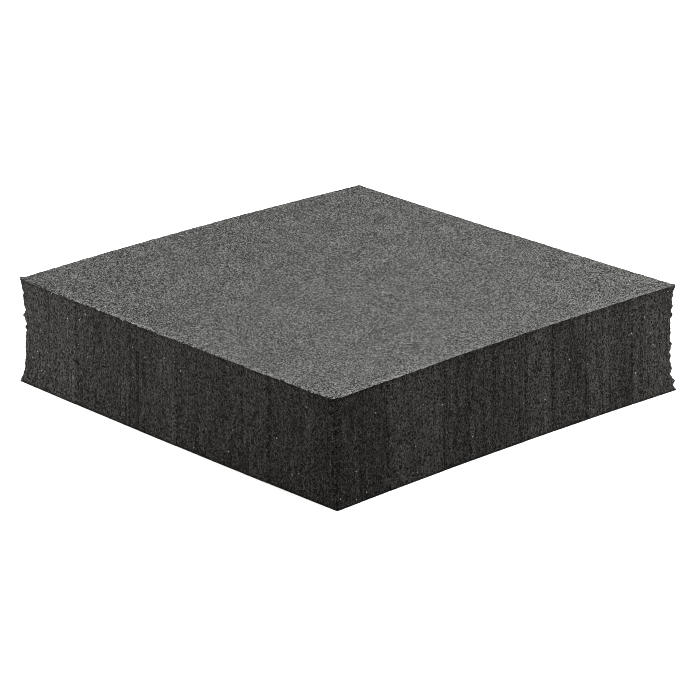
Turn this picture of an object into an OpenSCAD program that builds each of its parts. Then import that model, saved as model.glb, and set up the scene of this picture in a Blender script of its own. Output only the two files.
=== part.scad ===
// Anti-vibration pad: one square block of fine-celled rubber, cut from thick sheet with a blade.
//
// The top and the bottom are the flat skins of the sheet. The four flanks are cut faces. The soft
// sheet bulges under the blade and springs back hollow, so each flank is waisted, most of all at the
// upright corners, kicks out at its foot and is scored by upright drag lines where the blade stopped
// and started again.
//
// In plan the flanks run counter-clockwise: front (-Y), right (+X), back (+Y) and left (-X). Each
// starts at the corner of the same number: near (-X -Y), right (+X -Y), far (+X +Y), left (-X +Y).
// The origin is the middle of the floor face. Lengths are in millimetres.

/* [Sheet] */
// Thickness of the sheet, from the floor to the top face
thickness = 23.7; // [10:0.1:60]

/* [Outline] */
// Length of each side of the top face, from corner to corner
side = 100; // [50:1:200]
// Inward bow of the front flank at its middle, less than nothing where it bows outward
front_bow = 0.9; // [-3:0.1:3]
// Inward bow of the right flank
right_bow = 0; // [-3:0.1:3]
// Inward bow of the back flank
back_bow = -1.3; // [-3:0.1:3]
// Inward bow of the left flank
left_bow = -0.4; // [-3:0.1:3]

/* [Corners] */
// Radius of the worn near corner at the top face
near_corner_radius = 2.6; // [0.5:0.1:10]
// Radius that the knife leaves on the three clean corners, and on every corner at the floor
clean_corner_radius = 0.4; // [0.1:0.1:3]
// How far the near corner leans: its foot stands this much nearer the right corner than its top
near_corner_lean = 0.6; // [-1:0.1:1]

/* [Cut flanks] */
// Depth of the hollow at the upright corners, where the soft sheet gave way most
corner_waist = 0.85; // [0:0.05:3]
// Depth of the hollow along the middle of each flank
flank_waist = 0.25; // [0:0.05:3]
// How far along each flank the deeper hollow of a corner runs
corner_reach = 14; // [2:1:25]
// Height of the deepest line of the hollow, as a share of the thickness
waist_share = 0.5; // [0.2:0.05:0.8]
// How far the foot of each flank stands out beyond the top edge
foot_spread = 0.57; // [0:0.01:3]

/* [Knife marks] */
// Depth of a drag line below the bands beside it
line_depth = 0.2; // [0:0.05:1]
// Width of a drag line
line_width = 1; // [0.4:0.1:2]
// Greatest step between the bands on either side of a drag line
band_step = 0.2; // [0:0.05:1]

/* [Hidden] */

// Places of the drag lines along each flank, as shares of its length from its first corner
LINES = [
    [0.07, 0.15, 0.31, 0.385, 0.455, 0.55, 0.63, 0.73, 0.87],
    [0.11, 0.24, 0.37, 0.52, 0.66, 0.78, 0.91],
    [0.09, 0.18, 0.33, 0.45, 0.6, 0.72, 0.86],
    [0.1, 0.195, 0.34, 0.4, 0.525, 0.59, 0.73, 0.81, 0.905]
];

BOWS = [front_bow, right_bow, back_bow, left_bow];
TOP_RADII = [near_corner_radius, clean_corner_radius, clean_corner_radius, clean_corner_radius];

// Lean of each corner along the flank that starts at it, and as far out of that flank
LEANS = [near_corner_lean, 0, 0, 0];

// A flank that bows or leans outward moves the outline off centre, so the pad is drawn back over
// the origin
OUTWARD = [for (k = [0 : 3]) max(0, -BOWS[k], LEANS[k], -LEANS[(k + 1) % 4])];
CENTRING = [(OUTWARD[3] - OUTWARD[1]) / 2, (OUTWARD[0] - OUTWARD[2]) / 2];

// The flank leaves the top edge in a soft curve and turns out sharply at the foot
UPPER_POWER = 1.8;
FOOT_POWER = 6.5;
// Share of their depth that the knife marks keep at the two arrises
ARRIS_SHARE = 0.35;
// Steps round one corner, and rings of points from the top to the floor
CORNER_STEPS = 6;
RINGS = 12;
// The cut envelope passes the skins of the sheet by this share of the thickness
OVERRUN = 0.04;
// Share of a turn of the band pattern from one band to the next, so that no two bands match
BAND_TURN = 0.618;

function mix(a, b, share) = a + (b - a) * share;
function turned(p, angle) = [
    p.x * cos(angle) - p.y * sin(angle),
    p.x * sin(angle) + p.y * cos(angle)
];

// Share of its full depth that the hollow has at a level. Drop is 0 at the top and 1 at the floor.
function hollow(drop) =
    let (deepest = 1 - waist_share)
    drop < deepest
        ? 1 - pow((deepest - drop) / deepest, UPPER_POWER)
        : 1 - pow((drop - deepest) / waist_share, FOOT_POWER);

// Depth of the hollow at a share along a flank, deepening in a curve towards the nearer corner
function waist(share) =
    let (nearness = max(0, 1 - min(share, 1 - share) * side / corner_reach))
    mix(flank_waist, corner_waist, nearness * nearness);

// Distance from the middle of the pad to a flank, before its bow and its knife marks
function reach(drop, waist_depth) = side / 2 + foot_spread * drop - waist_depth * hollow(drop);

// How far the leans of its two corners carry a flank outward at a share along it
function lean(flank, share, drop) = drop * mix(LEANS[flank], -LEANS[(flank + 1) % 4], share);

// A corner is worn most at the top and runs out to a clean cut at the floor
function corner_radius(corner, drop) =
    mix(TOP_RADII[corner], clean_corner_radius, min(1, max(0, drop)));

// Knife marks are shallower at the two arrises, where the blade has just entered or left
function mark_fade(drop) = mix(ARRIS_SHARE, 1, sqrt(max(0, sin(180 * drop))));

// Depth of one band between two drag lines
function band_depth(flank, band) =
    let (turn = BAND_TURN * (band + 2 * flank))
    band_step * (turn - floor(turn));

// Stations [share along the flank, depth of its mark]: three across each drag line and two inside
// each band
function stations(flank) =
    let (
        lines = LINES[flank],
        last = len(lines) - 1,
        half_line = line_width / side / 2
    )
    [
        for (i = [0 : last + 1])
            let (
                start = i == 0 ? 0 : lines[i - 1] + half_line,
                end = i > last ? 1 : lines[i] - half_line,
                depth = band_depth(flank, i),
                next = band_depth(flank, i + 1)
            )
            each [
                if (i > 0) [start, depth],
                [mix(start, end, 1 / 3), depth],
                [mix(start, end, 2 / 3), depth],
                if (i <= last) [end, depth],
                if (i <= last) [lines[i], max(depth, next) + line_depth]
            ]
    ];

// Points along one flank at one level, drawn for the front flank and turned into place. The
// stations stand between the rounds that the corners have at the top, so each mark is upright.
function flank_points(flank, drop) =
    let (
        first = -side / 2 + TOP_RADII[flank],
        end = side / 2 - TOP_RADII[(flank + 1) % 4]
    )
    [
        for (s = stations(flank))
            let (
                bow = BOWS[flank] * 4 * s[0] * (1 - s[0]),
                inward = bow + s[1] * mark_fade(drop) - lean(flank, s[0], drop)
            )
            turned([mix(first, end, s[0]), inward - reach(drop, waist(s[0]))], 90 * flank)
    ];

// Points round one corner at one level, drawn for the near corner and turned into place
function corner_points(corner, drop) =
    let (
        radius = corner_radius(corner, drop),
        centre = radius - reach(drop, corner_waist),
        shift = LEANS[corner] * drop
    )
    [
        for (i = [0 : CORNER_STEPS])
            let (
                angle = 180 + 90 * i / CORNER_STEPS,
                x = centre + shift + radius * cos(angle),
                y = centre - shift + radius * sin(angle)
            )
            turned([x, y], 90 * corner)
    ];

// One ring of the envelope at one level: each corner, then the flank that starts at it
function ring(drop) = [
    for (k = [0 : 3])
        each concat(corner_points(k, drop), flank_points(k, drop))
];

// The path of the blade round the pad: rings of points from below the floor to above the top
module cut_envelope() {
    drops = [
        for (i = [0 : RINGS])
            mix(1 + OVERRUN, -OVERRUN, (1 - cos(180 * i / RINGS)) / 2)
    ];
    rings = [for (drop = drops) ring(drop)];
    count = len(rings[0]);
    walls = [
        for (level = [0 : RINGS - 1], i = [0 : count - 1])
            let (
                low = level * count + i,
                low_next = level * count + (i + 1) % count,
                high = low + count,
                high_next = low_next + count
            )
            each [[low, high, high_next], [low, high_next, low_next]]
    ];
    floor_centre = (RINGS + 1) * count;
    top_centre = floor_centre + 1;
    floor_cap = [for (i = [0 : count - 1]) [floor_centre, i, (i + 1) % count]];
    top_cap = [
        for (i = [0 : count - 1])
            [top_centre, RINGS * count + (i + 1) % count, RINGS * count + i]
    ];
    points = [
        for (level = [0 : RINGS], p = rings[level])
            [p.x + CENTRING.x, p.y + CENTRING.y, thickness * (1 - drops[level])],
        [CENTRING.x, CENTRING.y, thickness * (1 - drops[0])],
        [CENTRING.x, CENTRING.y, thickness * (1 - drops[RINGS])]
    ];
    polyhedron(points, concat(walls, floor_cap, top_cap));
}

// The sheet as it comes, wider than any pad that is cut from it
module sheet() {
    width = 2 * side;
    translate([-width / 2, -width / 2, 0]) cube([width, width, thickness]);
}

module pad() {
    color("dimgray")
        intersection() {
            sheet();
            cut_envelope();
        }
}

pad();
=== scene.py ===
"""Looks of the anti-vibration pad: one knife-cut block of fine-celled rubber on a pale studio floor.

Lengths in the classes are in millimetres. A finished mesh is in metres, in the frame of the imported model.
"""

import logging
import math
from dataclasses import dataclass, field
from enum import Enum
from typing import Any

import bmesh
import bpy
from mathutils import Matrix, Vector, noise

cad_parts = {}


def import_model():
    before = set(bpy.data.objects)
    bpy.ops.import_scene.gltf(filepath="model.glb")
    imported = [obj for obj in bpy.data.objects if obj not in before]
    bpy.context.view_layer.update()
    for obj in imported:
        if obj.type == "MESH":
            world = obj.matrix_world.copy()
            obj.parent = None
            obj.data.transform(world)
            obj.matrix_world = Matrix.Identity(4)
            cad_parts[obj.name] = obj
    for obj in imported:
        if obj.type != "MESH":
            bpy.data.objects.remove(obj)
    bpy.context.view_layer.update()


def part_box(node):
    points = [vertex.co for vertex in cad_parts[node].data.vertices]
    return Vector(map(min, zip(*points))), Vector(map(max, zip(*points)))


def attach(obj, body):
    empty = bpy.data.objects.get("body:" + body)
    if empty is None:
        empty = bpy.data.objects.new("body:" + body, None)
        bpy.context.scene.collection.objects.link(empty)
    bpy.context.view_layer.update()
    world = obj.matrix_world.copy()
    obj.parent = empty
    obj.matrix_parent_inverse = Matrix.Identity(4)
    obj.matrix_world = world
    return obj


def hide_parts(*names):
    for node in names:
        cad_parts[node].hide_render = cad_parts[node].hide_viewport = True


MM = 0.001

# Slack for comparing places in the gridded box, whose width is 2, and for distances in millimetres
BOX_SLACK = 1e-6
MM_SLACK = 1e-3

# The cells of a pattern stand in a loose grid, which is turned by these angles in radians so that it
# lies along no face or edge
GRAIN_TURN = (0.41, 0.32, 0.19)

# Sockets of a colour mix node, several of which share one name: the share of the second colour, the
# two colours and the result
MIX_SHARE, MIX_FIRST, MIX_SECOND, MIX_RESULT = 0, 6, 7, 2

log = logging.getLogger("pad_scene")


class Side(Enum):
    """The four cut flanks, counter-clockwise. Each starts at the corner of the same number."""

    FRONT = 0
    RIGHT = 1
    BACK = 2
    LEFT = 3


class Patch(Enum):
    """Material slots of the pad's mesh."""

    SKIN = 0
    FLANK = 1


class Pattern(Enum):
    """Kinds of grain: soft clouds of tone, or separate cells that each have a tone of their own."""

    CLOUDS = "clouds"
    CELLS = "cells"


class Follow(Enum):
    """What a layer of grain follows: the solid rubber, or the run of the blade round the flanks."""

    SOLID = "solid"
    BLADE = "blade"


def mix(low: float, high: float, share: float) -> float:
    """Value that lies the given share of the way from low to high."""
    return low + (high - low) * share


def smooth(share: float) -> float:
    """Share from 0 to 1, eased at both ends and clipped outside them."""
    clipped = min(1.0, max(0.0, share))
    return clipped * clipped * (3 - 2 * clipped)


def linear_rgba(code: str) -> tuple[float, float, float, float]:
    """Turns an sRGB hex colour into the linear colour that shaders use.

    Args:
        code: Colour such as "#4a4a49".

    Returns:
        Red, green, blue and alpha, each from 0 to 1.
    """
    channels = [int(code[i : i + 2], 16) / 255 for i in (1, 3, 5)]
    linear = [c / 12.92 if c <= 0.04045 else ((c + 0.055) / 1.055) ** 2.4 for c in channels]
    return (linear[0], linear[1], linear[2], 1.0)


def add_node(
    tree: bpy.types.NodeTree,
    kind: str,
    settings: dict[str, Any] | None = None,
    inputs: dict[str | int, Any] | None = None,
) -> bpy.types.Node:
    """Adds one node, sets its options, and sets or links its inputs.

    Args:
        tree: Node tree that gets the node.
        kind: Blender's name for the node type.
        settings: Values of the node's own options, by name.
        inputs: A socket to link or a value to set, by the input's name or number.

    Returns:
        The new node.
    """
    node = tree.nodes.new(kind)
    for name, value in (settings or {}).items():
        setattr(node, name, value)
    for key, value in (inputs or {}).items():
        if isinstance(value, bpy.types.NodeSocket):
            tree.links.new(value, node.inputs[key])
        else:
            node.inputs[key].default_value = value
    return node


@dataclass(frozen=True)
class PaintedBandShade:
    """A stretch of flank with painted shade, in shares of its length, and its loss of tone.

    A loss less than nothing makes the stretch lighter, a painted light.
    """

    start: float
    end: float
    loss: float


@dataclass
class KnifeMarks:
    """Upright drag lines that the blade left in the flanks, with a band of cut face between them.

    Each flank's lines are given as shares of its length, with the strength of each line. Scratches
    are finer lines that show as tone only. Painted band shades may start before a flank or end past
    it, where they run on at full strength to its corner. They are painted shade and light that stand
    in for the shading of the cut facets, and the painted shade towards the near corner.
    """

    lines: dict[Side, dict[float, float]] = field(
        default_factory=lambda: {
            Side.FRONT: {
                0.07: 0.4,
                0.15: 1.0,
                0.31: 0.9,
                0.385: 0.5,
                0.455: 0.6,
                0.55: 0.85,
                0.63: 1.0,
                0.73: 0.8,
                0.87: 1.0,
            },
            Side.RIGHT: {0.11: 0.6, 0.24: 1.0, 0.37: 0.5, 0.52: 0.9, 0.66: 0.6, 0.78: 1.0, 0.91: 0.5},
            Side.BACK: {0.09: 0.5, 0.18: 0.9, 0.33: 0.6, 0.45: 1.0, 0.6: 0.5, 0.72: 0.8, 0.86: 0.7},
            Side.LEFT: {
                0.1: 0.3,
                0.195: 0.25,
                0.34: 0.3,
                0.4: 0.6,
                0.525: 0.4,
                0.59: 0.7,
                0.73: 0.7,
                0.81: 0.6,
                0.905: 0.4,
            },
        }
    )
    scratches: dict[Side, tuple[float, ...]] = field(
        default_factory=lambda: {
            Side.FRONT: (0.352, 0.428, 0.591, 0.781, 0.898),
            Side.RIGHT: (0.17, 0.31, 0.45, 0.71, 0.84),
            Side.BACK: (0.13, 0.26, 0.52, 0.66, 0.93),
            Side.LEFT: (0.258, 0.374, 0.422, 0.67, 0.765),
        }
    )
    # Painted shade and light of the cut facets, and painted shade running into the near corner
    painted_band_shades: dict[Side, tuple[PaintedBandShade, ...]] = field(
        default_factory=lambda: {
            Side.FRONT: (
                PaintedBandShade(-1.0, 0.145, 0.09),
                PaintedBandShade(-1.0, 0.06, 0.05),
                PaintedBandShade(0.37, 0.44, 0.07),
                PaintedBandShade(0.455, 0.545, 0.11),
                PaintedBandShade(0.55, 0.63, -0.04),
                PaintedBandShade(0.63, 0.725, 0.1),
                PaintedBandShade(0.735, 0.8, -0.05),
                PaintedBandShade(0.8, 0.865, 0.05),
            ),
            Side.RIGHT: (PaintedBandShade(0.24, 0.37, 0.05), PaintedBandShade(0.66, 0.78, 0.06)),
            Side.BACK: (PaintedBandShade(0.09, 0.18, 0.06), PaintedBandShade(0.45, 0.6, 0.05)),
            Side.LEFT: (
                PaintedBandShade(0.15, 0.27, 0.02),
                PaintedBandShade(0.36, 0.47, 0.06),
                PaintedBandShade(0.5, 0.58, -0.02),
                PaintedBandShade(0.6, 0.74, 0.03),
                PaintedBandShade(0.94, 2.0, 0.07),
            ),
        }
    )
    band_shade_edge: float = 3.0
    scratch_width: float = 0.7
    pit_reach: float = 1.1
    line_depth: float = 0.2
    line_width: float = 1.0
    band_step: float = 0.2
    band_turn: float = 0.618
    arris_share: float = 0.35

    def band_depth(self, side: Side, band: int) -> float:
        """Depth of one band below the envelope of the flank."""
        turn = self.band_turn * (band + 2 * side.value)
        return self.band_step * (turn - math.floor(turn))

    def fade(self, drop: float) -> float:
        """Share of their depth that the marks have at a level."""
        return mix(self.arris_share, 1.0, math.sqrt(max(0.0, math.sin(math.pi * drop))))

    def depth(self, side: Side, share: float, length: float) -> float:
        """Depth of the knife marks at one place along a flank.

        Args:
            side: The flank.
            share: Share along the flank from its first corner.
            length: Length of the flank in millimetres.

        Returns:
            Depth in millimetres at full strength.
        """
        lines = self.lines[side]
        half = self.line_width / length / 2
        for number, (line, strength) in enumerate(lines.items()):
            gap = abs(share - line) / half
            if gap < 1:
                before = self.band_depth(side, number)
                after = self.band_depth(side, number + 1)
                edge = before if share < line else after
                return mix(max(before, after) + strength * self.line_depth, edge, smooth(gap))
        return self.band_depth(side, sum(1 for line in lines if line <= share))

    def painted_band_shade(self, side: Side, share: float, length: float) -> float:
        """Loss of tone in the bands of painted shade and light.

        Args:
            side: The flank.
            share: Share along the flank from its first corner.
            length: Length of the flank in millimetres.

        Returns:
            Tone to take away.
        """
        soft = self.band_shade_edge / length
        return sum(
            band.loss * smooth((share - band.start) / soft + 0.5) * smooth((band.end - share) / soft + 0.5)
            for band in self.painted_band_shades[side]
        )

    def scratch(self, side: Side, share: float, length: float) -> float:
        """Share from 0 to 1 of a fine scratch at one place along a flank of the given length."""
        nearest = min(abs(share - line) for line in self.scratches[side]) * length
        return 1 - smooth(nearest * 2 / self.scratch_width)

    def torn(self, side: Side, share: float, length: float) -> float:
        """Share of the torn cells that line each drag line and scratch at one place.

        Args:
            side: The flank.
            share: Share along the flank from its first corner.
            length: Length of the flank in millimetres.

        Returns:
            Share from 0 to 1.
        """
        marks = (*self.lines[side], *self.scratches[side])
        nearest = min(abs(share - line) for line in marks) * length
        return 1 - smooth(nearest / self.pit_reach)


@dataclass(frozen=True)
class Sway:
    """How far an upright corner stands from its true place at the top face and at the foot, in X and Y."""

    top: tuple[float, float] = (0.0, 0.0)
    foot: tuple[float, float] = (0.0, 0.0)

    def at(self, drop: float) -> Vector:
        """Shift in millimetres at a level."""
        return Vector((*self.top, 0)).lerp(Vector((*self.foot, 0)), drop)


@dataclass
class PadShape:
    """Form of the pad: plan, waisted flanks, corners and knife marks. Lengths in millimetres."""

    thickness: float
    side: float = 100.0
    centre: Vector = field(default_factory=lambda: Vector((0.2, -0.35, 0)))
    bows: tuple[float, float, float, float] = (0.9, 0.2, -1.3, -0.4)
    top_radii: tuple[float, float, float, float] = (2.6, 0.4, 0.4, 0.4)
    clean_radius: float = 0.4
    near_corner_lean: float = 0.6
    corner_waist: float = 0.85
    flank_waist: float = 0.25
    corner_reach: float = 14.0
    waist_share: float = 0.5
    foot_spread: float = 0.57
    upper_power: float = 1.8
    foot_power: float = 6.5
    bow_reach: float = 9.0
    mark_reach: float = 1.0
    corner_blend: float = 4.0
    sways: tuple[Sway, Sway, Sway, Sway] = (
        Sway(top=(-0.25, -0.25)),
        Sway(top=(0.55, 0.59), foot=(0.05, -0.38)),
        Sway(top=(0.0, -0.42), foot=(0.0, -0.42)),
        Sway(),
    )
    sway_reach: float = 70.0
    marks: KnifeMarks = field(default_factory=KnifeMarks)

    @property
    def half(self) -> float:
        """Half the length of a side of the top face."""
        return self.side / 2

    def hollow(self, drop: float) -> float:
        """Share of its full depth that the hollow of a flank has at a level.

        Args:
            drop: Level, from 0 at the top face to 1 at the floor.

        Returns:
            Share from 0 to 1.
        """
        deepest = 1 - self.waist_share
        if drop < deepest:
            return 1 - ((deepest - drop) / deepest) ** self.upper_power
        return 1 - ((drop - deepest) / self.waist_share) ** self.foot_power

    def waist(self, share: float) -> float:
        """Depth of the hollow at a share along a flank, deepening towards the nearer corner."""
        nearness = max(0.0, 1 - min(share, 1 - share) * self.side / self.corner_reach)
        return mix(self.flank_waist, self.corner_waist, nearness * nearness)

    def outward(self, share: float, drop: float) -> float:
        """How far a flank stands out beyond the top face's straight outline."""
        return self.foot_spread * drop - self.waist(share) * self.hollow(drop)

    def lean(self, side: Side, share: float, drop: float) -> float:
        """How far the leaning near corner carries a flank outward at one place."""
        shares = {Side.FRONT: 1 - share, Side.LEFT: -share}
        return self.near_corner_lean * drop * shares.get(side, 0.0)

    def sway(self, x: float, y: float, drop: float) -> Vector:
        """How far the wandering corners carry a point.

        Args:
            x: Place along X as a share of half the width, from -1 to 1.
            y: Place along Y as a share of half the width, from -1 to 1.
            drop: Level, from 0 at the top face to 1 at the floor.

        Returns:
            The shift in millimetres.
        """
        shift = Vector((0, 0, 0))
        for sway, (corner_x, corner_y) in zip(self.sways, ((-1, -1), (1, -1), (1, 1), (-1, 1))):
            away = math.hypot(x - corner_x, y - corner_y) * self.half
            shift += sway.at(drop) * max(0.0, 1 - away / self.sway_reach) ** 2
        return shift

    def along(self, side: Side, x: float, y: float) -> tuple[float, float]:
        """Share along a flank and distance in from it, for a point of the unit square.

        Args:
            side: The flank.
            x: Place along X as a share of half the width, from -1 to 1.
            y: Place along Y as a share of half the width, from -1 to 1.

        Returns:
            Share along the flank from 0 to 1, and distance in from it in millimetres.
        """
        run, depth = {
            Side.FRONT: (x, 1 + y),
            Side.RIGHT: (y, 1 - x),
            Side.BACK: (-x, 1 - y),
            Side.LEFT: (-y, 1 + x),
        }[side]
        return (run + 1) / 2, depth * self.half

    def inward(self, side: Side) -> Vector:
        """Direction from a flank towards the middle."""
        return Matrix.Rotation(side.value * math.pi / 2, 3, "Z") @ Vector((0, 1, 0))

    def spread(self, own: float, other: float, drop: float) -> float:
        """Distance of a point from the middle along one axis, once the flanks have their hollow.

        Args:
            own: Place along the axis as a share of half the width, from -1 to 1.
            other: Place along the other axis.
            drop: Level, from 0 at the top face to 1 at the floor.

        Returns:
            Distance in millimetres, without a sign.
        """
        inside = self.half * (1 - abs(own))
        ramp = 1 - smooth(inside / self.corner_blend)
        return self.half * abs(own) + ramp * self.outward((1 - abs(other)) / 2, drop)

    def rounded(self, x: float, y: float, corner: int, drop: float) -> tuple[float, float]:
        """Moves a point beside an upright corner so that the corner becomes round.

        Args:
            x: Distance from the middle along X, without a sign.
            y: Distance from the middle along Y, without a sign.
            corner: Number of the corner.
            drop: Level, from 0 at the top face to 1 at the floor.

        Returns:
            The point's new distances.
        """
        radius = mix(self.top_radii[corner], self.clean_radius, drop)
        start = self.half + self.outward(0.0, drop) - radius
        over_x, over_y = x - start, y - start
        if over_x <= 0 or over_y <= 0:
            return x, y
        pull = max(over_x, over_y) / math.hypot(over_x, over_y)
        return start + over_x * pull, start + over_y * pull

    def place(self, x: float, y: float, drop: float) -> Vector:
        """Gives the point of the pad that belongs to a point of the unit square at a level.

        Args:
            x: Place along X as a share of half the width, from -1 to 1.
            y: Place along Y as a share of half the width, from -1 to 1.
            drop: Level, from 0 at the top face to 1 at the floor.

        Returns:
            The point in millimetres.
        """
        corner = (1 if x > 0 else 0) if y < 0 else (2 if x > 0 else 3)
        plan = self.rounded(self.spread(x, y, drop), self.spread(y, x, drop), corner, drop)
        point = Vector((math.copysign(plan[0], x), math.copysign(plan[1], y), 0))
        point += self.sway(x, y, drop)
        point.z = self.thickness * (1 - drop)
        for side in Side:
            share, depth = self.along(side, x, y)
            if depth >= self.bow_reach:
                continue
            bow = self.bows[side.value] * 4 * share * (1 - share) - self.lean(side, share, drop)
            bow *= 1 - smooth(depth / self.bow_reach)
            mark = self.marks.depth(side, share, self.side) * self.marks.fade(drop)
            mark *= max(0.0, 1 - depth / self.mark_reach) * smooth(min(share, 1 - share) * self.half)
            point += self.inward(side) * (bow + mark)
        return point + self.centre


@dataclass
class Relief:
    """Fine relief of the surfaces, as depths in millimetres. Each size is the width of a feature.

    Tears are the larger teeth of a corner, by its number. Each is given by its height above the
    floor, and by how far it stands out.
    """

    streak: float = 0.07
    streak_size: float = 0.9
    fine_streak: float = 0.7
    fine_streak_size: float = 0.5
    streak_length: float = 22.0
    gather: float = 1.2
    gather_least: float = 0.6
    gather_size: float = 6.0
    blade_shift: float = 3.1
    tear: float = 0.05
    tear_size: float = 1.3
    swell: float = 0.06
    swell_size: float = 14.0
    crumb: float = 0.05
    crumb_size: float = 0.7
    crumb_reach: float = 0.8
    crumb_drop: float = 0.2
    pit_size: float = 0.6
    nick: float = 0.4
    nick_size: float = 1.4
    nick_top: float = 0.3
    fine_nick: float = 0.6
    fine_nick_size: float = 0.608696
    fine_nick_top: float = 0.25
    tears: dict[int, dict[float, float]] = field(
        default_factory=lambda: {
            1: {
                23.6: 0.2,
                18.9: 0.2,
                18.0: -0.15,
                17.0: 0.3,
                15.9: -0.22,
                13.1: 0.1,
                12.0: -0.15,
                10.3: 0.28,
                8.7: -0.22,
                6.7: -0.36,
                5.3: 0.12,
                3.6: -0.28,
                2.0: 0.45,
                0.7: -0.2,
            },
            3: {
                23.6: 0.22,
                16.4: -0.15,
                15.2: 0.4,
                11.7: -0.22,
                9.7: -0.16,
                6.0: -0.18,
                4.6: 0.12,
                2.9: -0.14,
            },
        }
    )
    tear_reach: float = 0.75
    nick_reach: float = 1.6
    corner_step: float = 9.0
    skin_reach: float = 3.0
    foot_share: float = 0.3
    foot_reach: float = 0.5
    seed: Vector = field(default_factory=lambda: Vector((31.7, 12.3, 57.1)))

    def wave(self, point: Vector, size: float, shift: float = 0.0) -> float:
        """Smooth noise from about -1 to 1 with features of the given size. Each use has its own shift."""
        return noise.noise((point + self.seed * (1 + shift)) / size)

    def blade(self, run: float, level: float, size: float) -> float:
        """Upright streaks from about -1 to 1, at a distance round the pad and a height above the floor."""
        return noise.noise(Vector((run / size, level / self.streak_length, self.blade_shift + size)))

    def flank(self, run: float, point: Vector) -> float:
        """Relief of a cut flank.

        Args:
            run: Distance round the pad in millimetres.
            point: Place on the pad in millimetres.

        Returns:
            Height of the relief in millimetres.
        """
        gather = self.gather_least + self.gather * abs(self.blade(run, point.z, self.gather_size))
        streaks = self.blade(run, point.z, self.streak_size)
        streaks += self.fine_streak * self.blade(run, point.z, self.fine_streak_size)
        return self.streak * gather * streaks + self.tear * self.wave(point, self.tear_size)

    def teeth(self, corner: int, level: float) -> float:
        """Torn teeth down an upright corner.

        Args:
            corner: Number of the corner.
            level: Height above the floor in millimetres.

        Returns:
            How far the corner stands out there, in millimetres.
        """
        place = Vector((corner * self.corner_step, 0.0, level))
        coarse = self.nick_top - abs(self.wave(place, self.nick_size))
        fine = self.fine_nick_top - abs(self.wave(place, self.fine_nick_size, shift=0.4))
        torn = sum(
            out * (1 - smooth(abs(level - height) / self.tear_reach))
            for height, out in self.tears.get(corner, {}).items()
        )
        return self.nick * (coarse + self.fine_nick * fine) + torn

    def face(self, point: Vector) -> float:
        """Relief of a sheet skin in millimetres."""
        return self.swell * self.wave(point, self.swell_size, shift=0.7)


@dataclass(frozen=True)
class Grain:
    """One layer of grain in a finish.

    The size is the width of a feature in millimetres, the weight is its part in the tone, and the
    stretch is how many times longer it is up the flank than along it.
    """

    pattern: Pattern
    size: float
    weight: float
    follow: Follow = Follow.SOLID
    stretch: float = 1.0

    def add_to(
        self,
        tree: bpy.types.NodeTree,
        places: dict[Follow, bpy.types.NodeSocket],
        tone: bpy.types.NodeSocket,
    ) -> bpy.types.NodeSocket:
        """Adds the layer to the tone below it.

        Args:
            tree: Node tree of the material.
            places: Coordinates in millimetres for each thing that grain can follow.
            tone: Tone of the layers below.

        Returns:
            The new tone.
        """
        upright = 1 / self.stretch
        solid = self.follow is Follow.SOLID
        scale = (1.0, 1.0, upright) if solid else (1.0, upright, 1.0)
        turn = GRAIN_TURN if solid else (0.0, 0.0, 0.0)
        place = add_node(
            tree,
            "ShaderNodeMapping",
            inputs={"Vector": places[self.follow], "Scale": scale, "Rotation": turn},
        )
        kind, output = {
            Pattern.CLOUDS: ("ShaderNodeTexNoise", "Fac"),
            Pattern.CELLS: ("ShaderNodeTexVoronoi", "Color"),
        }[self.pattern]
        grain = add_node(
            tree,
            kind,
            inputs={"Vector": place.outputs["Vector"], "Scale": 1 / self.size},
        )
        centred = add_node(
            tree,
            "ShaderNodeMath",
            {"operation": "SUBTRACT"},
            {0: grain.outputs[output], 1: 0.5},
        )
        summed = add_node(
            tree,
            "ShaderNodeMath",
            {"operation": "MULTIPLY_ADD"},
            {0: centred.outputs["Value"], 1: self.weight, 2: tone},
        )
        return summed.outputs["Value"]


@dataclass(frozen=True)
class Fleck:
    """Small round marks strewn through the rubber, such as opened cells or grains of chalk."""

    colour: str
    spacing: float
    core: float
    rim: float
    strength: float

    def add_to(
        self,
        tree: bpy.types.NodeTree,
        place: bpy.types.NodeSocket,
        body: bpy.types.NodeSocket,
    ) -> bpy.types.NodeSocket:
        """Lays the marks over the colour below them.

        Args:
            tree: Node tree of the material.
            place: Coordinates in millimetres.
            body: Colour below the marks.

        Returns:
            The new colour.
        """
        cells = add_node(
            tree,
            "ShaderNodeTexVoronoi",
            inputs={"Vector": place, "Scale": 1 / self.spacing},
        )
        mask = add_node(
            tree,
            "ShaderNodeMapRange",
            {"interpolation_type": "SMOOTHSTEP"},
            {
                "Value": cells.outputs["Distance"],
                "From Min": self.core / self.spacing,
                "From Max": self.rim / self.spacing,
                "To Min": self.strength,
                "To Max": 0.0,
            },
        )
        laid = add_node(
            tree,
            "ShaderNodeMix",
            {"data_type": "RGBA"},
            {
                MIX_SHARE: mask.outputs["Result"],
                MIX_FIRST: body,
                MIX_SECOND: linear_rgba(self.colour),
            },
        )
        return laid.outputs[MIX_RESULT]


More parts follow.
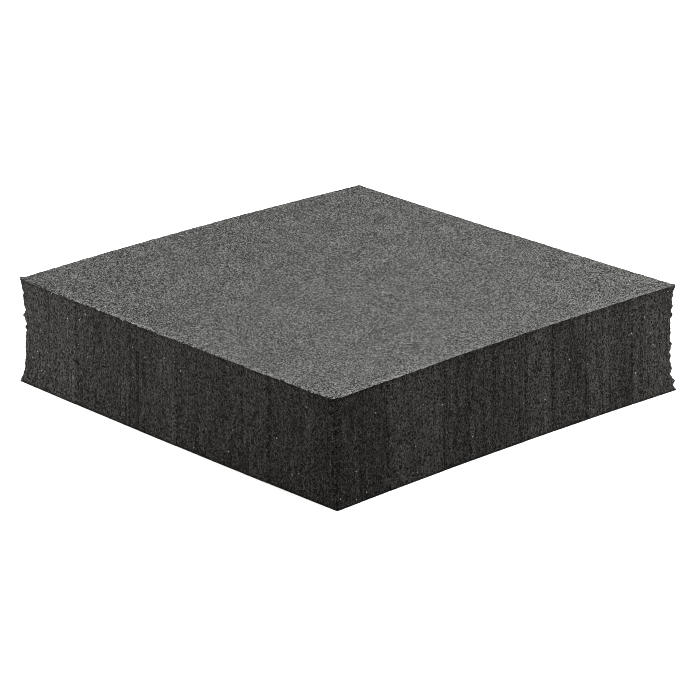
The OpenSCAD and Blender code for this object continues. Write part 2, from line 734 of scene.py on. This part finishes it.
@dataclass(frozen=True)
class RubberFinish:
    """One finish of fine-celled rubber: layers of grain between two tones, flecks and a matt bump."""

    name: str
    dark: str
    light: str
    layers: tuple[Grain, ...]
    flecks: tuple[Fleck, ...]
    tone_layer: str
    tone_span: float
    tone_power: float
    roughness: float
    specular: float
    bump: float

    def material(self) -> bpy.types.Material:
        """Builds the material from its layers.

        Returns:
            The material.
        """
        material = bpy.data.materials.new(self.name)
        material.use_nodes = True
        tree = material.node_tree
        tree.nodes.clear()
        solid = add_node(
            tree,
            "ShaderNodeMapping",
            inputs={
                "Vector": add_node(tree, "ShaderNodeTexCoord").outputs["Object"],
                "Scale": (1 / MM, 1 / MM, 1 / MM),
            },
        )
        unrolled = add_node(tree, "ShaderNodeUVMap", {"uv_map": "unrolled"})
        places = {Follow.SOLID: solid.outputs["Vector"], Follow.BLADE: unrolled.outputs["UV"]}
        tone = add_node(tree, "ShaderNodeAttribute", {"attribute_name": self.tone_layer}).outputs["Fac"]
        for layer in self.layers:
            tone = layer.add_to(tree, places, tone)
        spread = add_node(
            tree,
            "ShaderNodeMapRange",
            {"clamp": True},
            {
                "Value": tone,
                "From Min": -self.tone_span,
                "From Max": self.tone_span,
            },
        )
        curved = add_node(
            tree,
            "ShaderNodeMath",
            {"operation": "POWER"},
            {0: spread.outputs["Result"], 1: self.tone_power},
        )
        body = add_node(
            tree,
            "ShaderNodeMix",
            {"data_type": "RGBA"},
            {
                MIX_SHARE: curved.outputs["Value"],
                MIX_FIRST: linear_rgba(self.dark),
                MIX_SECOND: linear_rgba(self.light),
            },
        )
        colour = body.outputs[MIX_RESULT]
        for fleck in self.flecks:
            colour = fleck.add_to(tree, places[Follow.SOLID], colour)
        bump = add_node(
            tree,
            "ShaderNodeBump",
            inputs={"Height": spread.outputs["Result"], "Strength": 1.0, "Distance": self.bump * MM},
        )
        shader = add_node(
            tree,
            "ShaderNodeBsdfPrincipled",
            inputs={
                "Base Color": colour,
                "Roughness": self.roughness,
                "Normal": bump.outputs["Normal"],
                "IOR": 1.5,
                "Specular IOR Level": self.specular,
            },
        )
        add_node(tree, "ShaderNodeOutputMaterial", inputs={"Surface": shader.outputs["BSDF"]})
        return material


# Ground sheet skin. Grinding leaves a matt nap of grey rubber dust that catches light from above.
# Its true grain is about 0.1 mm. It is drawn at 0.2 mm, the finest that shows. Opened cells stand out
# as dark pits, and grains of chalk filler as a few white specks.
GROUND_SKIN = RubberFinish(
    name="ground_rubber_sheet_skin",
    dark="#040404",
    light="#696966",
    layers=(
        Grain(Pattern.CELLS, 0.19, 1.3),
        Grain(Pattern.CLOUDS, 0.8, 0.1),
        Grain(Pattern.CLOUDS, 7.0, 0.17),
    ),
    flecks=(
        Fleck("#0a0a0a", 0.8, 0.12, 0.22, 0.85),
        Fleck("#060606", 2.4, 0.12, 0.27, 0.85),
        Fleck("#bcbcb8", 2.7, 0.05, 0.15, 1.0),
    ),
    # The vertex layer holds painted light only: shade to the back and at the far arrises, highlight at the
    # near ones.
    tone_layer="skin_painted_light",
    tone_span=0.31,
    tone_power=3.2,
    roughness=0.9,
    specular=0.15,
    bump=0.05,
)

# Cut face. The blade opens the cells, which swallow light, and drags them into upright streaks.
# Cells of 0.1 mm are drawn at 0.2 mm, the finest that shows. Larger cells stand out as black pits, and
# chalk filler as white grains.
CUT_CELLS = RubberFinish(
    name="cut_microcellular_rubber",
    # Its tones are darker than the skin's partly because the opened cells swallow light, and partly as
    # painted shade for the upright flanks.
    dark="#020202",
    light="#33312f",
    layers=(
        Grain(Pattern.CELLS, 0.2, 0.85, stretch=1.4),
        Grain(Pattern.CLOUDS, 0.25, 0.65, Follow.BLADE, 40.0),
        Grain(Pattern.CLOUDS, 1.1, 0.2, Follow.BLADE, 14.0),
        Grain(Pattern.CLOUDS, 3.5, 0.2, Follow.BLADE, 9.0),
    ),
    flecks=(
        Fleck("#020202", 0.85, 0.2, 0.3, 1.0),
        Fleck("#8e8c88", 2.55, 0.055, 0.16, 1.0),
        Fleck("#5c5a57", 1.9, 0.04, 0.15, 0.7),
    ),
    # The vertex layer holds the flank's tone, with painted shade in the marks and bands, under the top
    # arris and at the foot.
    tone_layer="cut_tone_and_painted_shade",
    tone_span=0.37,
    tone_power=1.7,
    roughness=0.9,
    specular=0.05,
    bump=0.06,
)


@dataclass(frozen=True)
class ToneAndPaintedLight:
    """Tones of the skins and the flanks, real and painted. Reaches and sizes in millimetres.

    The painted falloff rate is the painted shade that the skin takes on towards the back, for each
    millimetre. Along the far arrises a skin gets a painted shade, and along the near arrises a painted
    highlight with painted glints. A flank starts from the tone of a clean cut. Scratches and the
    opened cells are darker, and a cell beside a mark is torn wider, into a darker pit. The knife
    marks, a band under the top arris and the foot get painted shade.
    """

    # Painted shade: the skin's loss of tone towards the back, standing in for the top light's falloff
    painted_falloff_rate: float = 0.0006
    # Painted shade along the far arrises of a skin
    painted_edge_shade: float = 0.14
    painted_edge_reach: float = 0.7
    # Painted highlight along the near arrises of a skin
    painted_edge_highlight: float = 0.12
    painted_highlight_reach: float = 1.3
    painted_highlight_fade: float = 34.0
    # Painted glints of crumbs along the near arrises
    painted_glint: float = 0.5
    glint_size: float = 1.1
    glint_least: float = 0.42
    glint_edge: float = 0.1
    glint_shift: tuple[float, float, float] = (7.1, 3.3, 5.9)
    cut: float = 0.074
    # Painted shade in the knife marks, per millimetre of their depth
    mark: float = 0.5
    scratch: float = 0.13
    patch: float = 1.4
    patch_least: float = 0.8
    patch_width: float = 2.5
    patch_height: float = 9.0
    patch_shift: float = 1.7
    crumb: float = 0.35
    # Painted shade under the top arris
    painted_lip_shade: float = 0.12
    lip_reach: float = 0.6
    # Painted contact shade along the foot
    foot: float = 0.3
    foot_reach: float = 0.7
    pit: float = 0.15
    torn_pit: float = 0.55
    pit_least: float = 0.3
    pit_edge: float = 0.2


@dataclass
class Pad:
    """The block itself: a gridded box, moved onto the pad's form and given its fine relief.

    The grid has a number of squares along each side, each split again on the flanks, a number of
    rows up a flank, and narrow rings round the two skins. The roll is how far the frayed skin hangs
    over a flank. It fades out at a share of the front flank, and its edge is ragged. Lengths in
    millimetres.
    """

    shape: PadShape
    relief: Relief = field(default_factory=Relief)
    tones: ToneAndPaintedLight = field(default_factory=ToneAndPaintedLight)
    squares: int = 60
    splits: int = 5
    rows: int = 72
    rings: tuple[float, ...] = (1.2, 0.5)
    roll: float = 0.3
    roll_least: float = 0.08
    roll_round: float = 0.12
    roll_end: float = 0.5
    ragged: float = 0.7
    ragged_size: float = 0.9
    ragged_shift: tuple[float, float] = (4.4, 8.2)
    row_slack: float = 0.1

    def build(self) -> bpy.types.Object:
        """Builds and dresses the pad.

        Returns:
            The finished object, at the origin.
        """
        bm = self.gridded_box()
        self.unroll(bm)
        self.form(bm)
        mesh = bpy.data.meshes.new("rubber_pad")
        bm.to_mesh(mesh)
        bm.free()
        mesh.materials.append(GROUND_SKIN.material())
        mesh.materials.append(CUT_CELLS.material())
        piece = bpy.data.objects.new("rubber_pad", mesh)
        bpy.context.scene.collection.objects.link(piece)
        return piece

    def gridded_box(self) -> bmesh.types.BMesh:
        """A box from -1 to 1 in X and Y and 0 to 1 in Z, gridded finely on its flanks.

        Returns:
            The box.
        """
        bm = bmesh.new()
        bmesh.ops.create_cube(bm, size=2.0)
        bmesh.ops.translate(bm, verts=bm.verts, vec=(0, 0, 1))
        bmesh.ops.scale(bm, verts=bm.verts, vec=(1, 1, 0.5))
        level = [e for e in bm.edges if not self.is_upright(e)]
        bmesh.ops.subdivide_edges(bm, edges=level, cuts=self.squares - 1, use_grid_fill=True)
        upright = [e for e in bm.edges if self.is_upright(e)]
        bmesh.ops.subdivide_edges(bm, edges=upright, cuts=self.rows - 1)
        for ring in self.rings:
            for top in (True, False):
                skin = [f for f in bm.faces if self.inside_skin(f, top)]
                bmesh.ops.inset_region(bm, faces=skin, thickness=ring / self.shape.half)
        bm.normal_update()
        level = [e for e in bm.edges if self.on_flank(e)]
        bmesh.ops.subdivide_edges(bm, edges=level, cuts=self.splits - 1)
        bmesh.ops.recalc_face_normals(bm, faces=bm.faces)
        return bm

    def is_upright(self, edge: bmesh.types.BMEdge) -> bool:
        """Whether an edge of the gridded box runs up a flank."""
        return abs(edge.verts[0].co.z - edge.verts[1].co.z) > BOX_SLACK

    def on_flank(self, edge: bmesh.types.BMEdge) -> bool:
        """Whether an edge of the gridded box runs level along a flank."""
        one, two = (v.co for v in edge.verts)
        return not self.is_upright(edge) and any(
            abs(abs(one[axis]) - 1) < BOX_SLACK and abs(one[axis] - two[axis]) < BOX_SLACK
            for axis in (0, 1)
        )

    def inside_skin(self, face: bmesh.types.BMFace, top: bool) -> bool:
        """Whether a face of the gridded box lies in its top, or in its floor."""
        level = 1.0 if top else 0.0
        return all(abs(v.co.z - level) < BOX_SLACK for v in face.verts)

    def side_of(self, face: bmesh.types.BMFace) -> Side | None:
        """Finds the flank that a face of the gridded box belongs to.

        Args:
            face: The face.

        Returns:
            The flank, or None for a face of the two skins.
        """
        if self.inside_skin(face, True) or self.inside_skin(face, False):
            return None
        if abs(face.normal.y) > 0.5:
            return Side.FRONT if face.normal.y < 0 else Side.BACK
        return Side.RIGHT if face.normal.x > 0 else Side.LEFT

    def rolled(self, side: Side | None, share: float) -> float:
        """How far the frayed skin rolls down over a flank.

        The nap is dragged over the arris of the left flank, and of the front flank near the near corner.

        Args:
            side: The flank, or None for a skin.
            share: Share along the flank from its first corner.

        Returns:
            Depth in millimetres.
        """
        reach = {Side.LEFT: 1.0, Side.FRONT: 1 - smooth(share / self.roll_end)}.get(side, 0.0)
        depth = self.roll * reach
        return depth if depth > self.roll_least else 0.0

    def in_roll(self, unit: Vector) -> bool:
        """Whether a point of the gridded box lies on the row that bounds the rolled skin."""
        return abs((1 - unit.z) * self.rows - 1) < self.row_slack

    def unroll(self, bm: bmesh.types.BMesh) -> None:
        """Sets each face's material, and a UV map in millimetres that unrolls the flanks.

        Args:
            bm: The gridded box, before it is formed.
        """
        layer = bm.loops.layers.uv.new("unrolled")
        for face in bm.faces:
            side = self.side_of(face)
            middle = face.calc_center_median()
            share = self.shape.along(side, middle.x, middle.y)[0] if side else 0.0
            skin = side is None or (middle.z > 1 - 1 / self.rows and self.rolled(side, share) > 0)
            face.material_index = Patch.SKIN.value if skin else Patch.FLANK.value
            face.smooth = True
            for loop in face.loops:
                x, y, z = loop.vert.co
                if side is None:
                    loop[layer].uv = (x * self.shape.half, y * self.shape.half)
                else:
                    share, _ = self.shape.along(side, x, y)
                    run = (share + side.value) * self.shape.side
                    loop[layer].uv = (run, z * self.shape.thickness)
        for edge in bm.edges:
            patches = {f.material_index for f in edge.link_faces}
            edge.smooth = len(patches) == 1

    def form(self, bm: bmesh.types.BMesh) -> None:
        """Moves the gridded box onto the pad's form, adds relief and stores the two tone layers.

        Args:
            bm: The gridded box.
        """
        skin_painted_light = bm.verts.layers.float.new("skin_painted_light")
        cut_tone_and_painted_shade = bm.verts.layers.float.new("cut_tone_and_painted_shade")
        units = [v.co.copy() for v in bm.verts]
        for vert, unit in zip(bm.verts, units):
            vert.co = self.shape.place(unit.x, unit.y, self.level(unit))
        bm.normal_update()
        heights = [self.height(v.co, u) for v, u in zip(bm.verts, units)]
        normals = [v.normal.copy() for v in bm.verts]
        for vert, unit, normal, height in zip(bm.verts, units, normals, heights):
            vert[skin_painted_light] = self.skin_painted_light(unit)
            vert[cut_tone_and_painted_shade] = self.cut_tone_and_painted_shade(vert.co, unit)
            vert.co += normal * height
            if unit.z < BOX_SLACK:
                vert.co.z = 0
            vert.co *= MM
        bm.normal_update()

    def level(self, unit: Vector) -> float:
        """Level of a point, with the ragged edge of the rolled skin.

        Args:
            unit: The point in the gridded box.

        Returns:
            Level, from 0 at the top face to 1 at the floor.
        """
        side, share = self.run_of(unit)
        depth = self.rolled(side, share)
        if depth == 0 or not self.in_roll(unit) or self.edge_distance(unit) > MM_SLACK:
            return 1 - unit.z
        run = (share + side.value) * self.shape.side
        ragged = 1 + self.ragged * noise.noise(Vector((run / self.ragged_size, *self.ragged_shift)))
        return depth * ragged / self.shape.thickness

    def edge_distance(self, unit: Vector) -> float:
        """Distance in millimetres from a point of a skin to its nearest edge, nothing on a flank."""
        return (1 - max(abs(unit.x), abs(unit.y))) * self.shape.half

    def corner_distance(self, unit: Vector) -> float:
        """Distance in millimetres along a flank from a point to the nearest upright corner."""
        return (1 - min(abs(unit.x), abs(unit.y))) * self.shape.half

    def run_of(self, unit: Vector) -> tuple[Side, float]:
        """Finds the flank that a point lies on.

        Args:
            unit: The point in the gridded box.

        Returns:
            The flank, and the share along it from its first corner.
        """
        for side in Side:
            share, depth = self.shape.along(side, unit.x, unit.y)
            if depth < MM_SLACK:
                return side, share
        return Side.FRONT, 0.0

    def skin_painted_light(self, unit: Vector) -> float:
        """Painted light on a skin.

        A painted shade darkens the skin towards the back and along the far arrises, and a painted
        highlight with painted glints lights it along the near arrises.

        Args:
            unit: The point in the gridded box.

        Returns:
            Tone, less than nothing where it is darker.
        """
        tones = self.tones
        inside = self.edge_distance(unit)
        # Painted shade: the skin darkens towards the back, for the top light's falloff.
        painted_falloff = -tones.painted_falloff_rate * unit.y * self.shape.half
        # Painted shade along the far arrises; towards the back-left corner it also takes over the near
        # ones.
        painted_edge_shade = painted_falloff - tones.painted_edge_shade * (1 - smooth(inside / tones.painted_edge_reach))
        if min(unit.x, unit.y) >= -max(unit.x, unit.y):
            return painted_edge_shade
        # Painted glints of crumbs along the near arrises.
        glint_noise = noise.noise(unit * self.shape.half / tones.glint_size + Vector(tones.glint_shift))
        painted_glint = tones.painted_glint * smooth((glint_noise - tones.glint_least) / tones.glint_edge)
        # Painted highlight along the near arrises.
        painted_edge_highlight = painted_falloff + tones.painted_edge_highlight * (1 - smooth(inside / tones.painted_highlight_reach))
        painted_edge_highlight += painted_glint * (1 - smooth(inside / tones.painted_edge_reach))
        # Distance from the back-left corner, where the painted highlight gives way to the painted shade.
        from_back_left_corner = max(1 + unit.x, 1 - unit.y) * self.shape.half
        return mix(painted_edge_shade, painted_edge_highlight, smooth(from_back_left_corner / tones.painted_highlight_fade))

    def cut_tone_and_painted_shade(self, point: Vector, unit: Vector) -> float:
        """Tone of a flank, with painted shade in the knife marks, under the top arris and at the foot,
        and painted shade and light in the facet bands.

        Args:
            point: The point in millimetres.
            unit: The same point in the gridded box.

        Returns:
            Tone, less than nothing where it is darker.
        """
        if self.edge_distance(unit) > MM_SLACK:
            return 0.0
        tones, marks, length = self.tones, self.shape.marks, self.shape.side
        side, share = self.run_of(unit)
        run = (share + side.value) * length
        patch_place = (run / tones.patch_width, point.z / tones.patch_height, tones.patch_shift)
        patch = noise.noise(Vector(patch_place))
        scratch = marks.scratch(side, share, length) * (tones.patch_least + tones.patch * patch)
        pits = self.relief.wave(point, self.relief.pit_size, shift=1.4)
        pit = smooth((pits - tones.pit_least) / tones.pit_edge)
        pit *= mix(tones.pit, tones.torn_pit, marks.torn(side, share, length))
        below = (1 - unit.z) * self.shape.thickness
        above = unit.z * self.shape.thickness
        crumbs = self.relief.wave(point, self.relief.crumb_size, shift=0.5)
        crumbs *= tones.crumb * (1 - smooth(below / tones.lip_reach))
        # Painted shade in a band under the top arris.
        painted_lip_shade = tones.painted_lip_shade * (1 - smooth(abs(below - tones.lip_reach) / tones.lip_reach))
        # Painted contact shade along the foot.
        foot = tones.foot * (1 - smooth(above / tones.foot_reach))
        # Painted shade in the knife marks, deeper where they are deeper, with the darker scratches.
        groove_shade_and_scratches = tones.mark * marks.depth(side, share, length) + tones.scratch * scratch
        # The painted band shades add painted shade and light of the cut facets.
        return tones.cut + crumbs - groove_shade_and_scratches - painted_lip_shade - foot - pit - marks.painted_band_shade(side, share, length)

    def height(self, point: Vector, unit: Vector) -> float:
        """Height of the fine relief at a point of the pad.

        Args:
            point: The point in millimetres.
            unit: The same point in the gridded box.

        Returns:
            Height in millimetres along the surface's normal.
        """
        relief = self.relief
        inside = self.edge_distance(unit)
        if inside > MM_SLACK:
            return relief.face(point) * smooth(inside / relief.skin_reach)
        side, share = self.run_of(unit)
        height = relief.flank((share + side.value) * self.shape.side, point)
        below = (1 - unit.z) * self.shape.thickness
        crumbs = relief.wave(point, relief.crumb_size, shift=0.9) - relief.crumb_drop
        height += relief.crumb * crumbs * (1 - smooth(below / relief.crumb_reach))
        near = 1 - smooth(self.corner_distance(unit) / relief.nick_reach)
        height += relief.teeth((side.value + round(share)) % 4, point.z) * near
        if below < BOX_SLACK and self.rolled(side, share) > 0:
            height -= self.roll_round
        above = unit.z * self.shape.thickness
        return height * mix(relief.foot_share, 1.0, smooth(above / relief.foot_reach))


@dataclass(frozen=True)
class Softbox:
    """A square soft light: where it stands, what it faces, the length of its side and its watts."""

    name: str
    place: tuple[float, float, float]
    aim: tuple[float, float, float]
    size: float
    power: float


@dataclass
class Studio:
    """Pale floor, soft lights and the camera. Lengths in metres.

    The crispness is the width of the pixel filter. A narrow one keeps the rubber's grain sharp.
    """

    floor_size: float = 12.0
    floor_colour: str = "#f2f2f0"
    azimuth: float = -42.833
    elevation: float = 20.556
    distance: float = 0.7661
    aim_height: float = 0.0086
    aim_right: float = 0.0003
    lens: float = 182.0
    sensor: float = 36.0
    clip_start: float = 0.05
    clip_end: float = 40.0
    sky: float = 0.96
    crispness: float = 1.0
    softboxes: tuple[Softbox, ...] = (
        Softbox("top_softbox", (0.06, -0.04, 0.55), (0.0, 0.0, 0.0), 0.45, 7.0),
        Softbox("left_softbox", (-0.115, 0.06, 0.0125), (-0.05, 0.04, 0.012), 0.022, 0.115),
        Softbox("right_softbox", (0.06, -0.13, 0.0125), (0.035, -0.05, 0.012), 0.022, 0.125),
    )

    def floor(self) -> bpy.types.Object:
        """Builds the pale floor as a wide flat sheet.

        Returns:
            The floor's object.
        """
        bm = bmesh.new()
        bmesh.ops.create_grid(bm, x_segments=1, y_segments=1, size=self.floor_size / 2)
        mesh = bpy.data.meshes.new("studio_floor")
        bm.to_mesh(mesh)
        bm.free()
        material = bpy.data.materials.new("matt_paper_floor")
        material.use_nodes = True
        shader = material.node_tree.nodes["Principled BSDF"]
        shader.inputs["Base Color"].default_value = linear_rgba(self.floor_colour)
        shader.inputs["Roughness"].default_value = 1.0
        shader.inputs["Specular IOR Level"].default_value = 0.0
        mesh.materials.append(material)
        floor = bpy.data.objects.new("studio_floor", mesh)
        bpy.context.scene.collection.objects.link(floor)
        return floor

    def light(self, softbox: Softbox) -> None:
        """Adds a soft light, which the camera doesn't see.

        Args:
            softbox: The light's place, aim, size and power.
        """
        data = bpy.data.lights.new(softbox.name, "AREA")
        data.size = softbox.size
        data.energy = softbox.power
        lamp = bpy.data.objects.new(softbox.name, data)
        lamp.location = softbox.place
        facing = Vector(softbox.aim) - Vector(softbox.place)
        lamp.rotation_euler = facing.to_track_quat("-Z", "Y").to_euler()
        lamp.visible_camera = False
        bpy.context.scene.collection.objects.link(lamp)

    def world(self) -> None:
        """Sets an even sky for the fill light, which the camera sees as white paper."""
        world = bpy.data.worlds.new("studio_sky")
        world.use_nodes = True
        tree = world.node_tree
        tree.nodes.clear()
        white = (1.0, 1.0, 1.0, 1.0)
        path = add_node(tree, "ShaderNodeLightPath")
        fill = add_node(tree, "ShaderNodeBackground", inputs={"Color": white, "Strength": self.sky})
        paper = add_node(tree, "ShaderNodeBackground", inputs={"Color": white, "Strength": 1.0})
        seen = add_node(
            tree,
            "ShaderNodeMixShader",
            inputs={
                0: path.outputs["Is Camera Ray"],
                1: fill.outputs["Background"],
                2: paper.outputs["Background"],
            },
        )
        add_node(tree, "ShaderNodeOutputWorld", inputs={"Surface": seen.outputs["Shader"]})
        bpy.context.scene.world = world

    def camera(self, centre: Vector) -> None:
        """Stands the camera at its angle and aims it a little above the middle of the pad's foot.

        Args:
            centre: Middle of the pad's square outline on the floor, in metres.
        """
        turn, rise = math.radians(self.azimuth), math.radians(self.elevation)
        level = math.cos(rise)
        back = Vector((math.sin(turn) * level, -math.cos(turn) * level, math.sin(rise)))
        data = bpy.data.cameras.new("camera")
        data.lens = self.lens
        data.sensor_width = self.sensor
        data.clip_start = self.clip_start
        data.clip_end = self.clip_end
        camera = bpy.data.objects.new("camera", data)
        camera.location = centre + back * self.distance
        right = Vector((math.cos(turn), math.sin(turn), 0))
        aim = centre + right * self.aim_right + Vector((0, 0, self.aim_height))
        camera.rotation_euler = (aim - camera.location).to_track_quat("-Z", "Y").to_euler()
        bpy.context.scene.collection.objects.link(camera)
        bpy.context.scene.camera = camera

    def build(self, centre: Vector) -> None:
        """Builds the whole studio.

        Args:
            centre: Middle of the pad's square outline on the floor, in metres.
        """
        self.floor()
        for softbox in self.softboxes:
            self.light(softbox)
        self.world()
        self.camera(centre)
        bpy.context.scene.view_settings.view_transform = "Standard"
        bpy.context.scene.cycles.filter_width = self.crispness


def main() -> None:
    """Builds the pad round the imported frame, and the studio round the pad."""
    logging.basicConfig(level=logging.INFO, format="%(message)s")
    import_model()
    low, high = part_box("pad")
    shape = PadShape(thickness=(high.z - low.z) / MM)
    piece = Pad(shape).build()
    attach(piece, "root")
    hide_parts("pad")
    log.info("%s: %d faces, side %.1f mm", piece.name, len(piece.data.polygons), shape.side)
    Studio().build(shape.centre * MM)


if __name__ == "__main__":
    main()
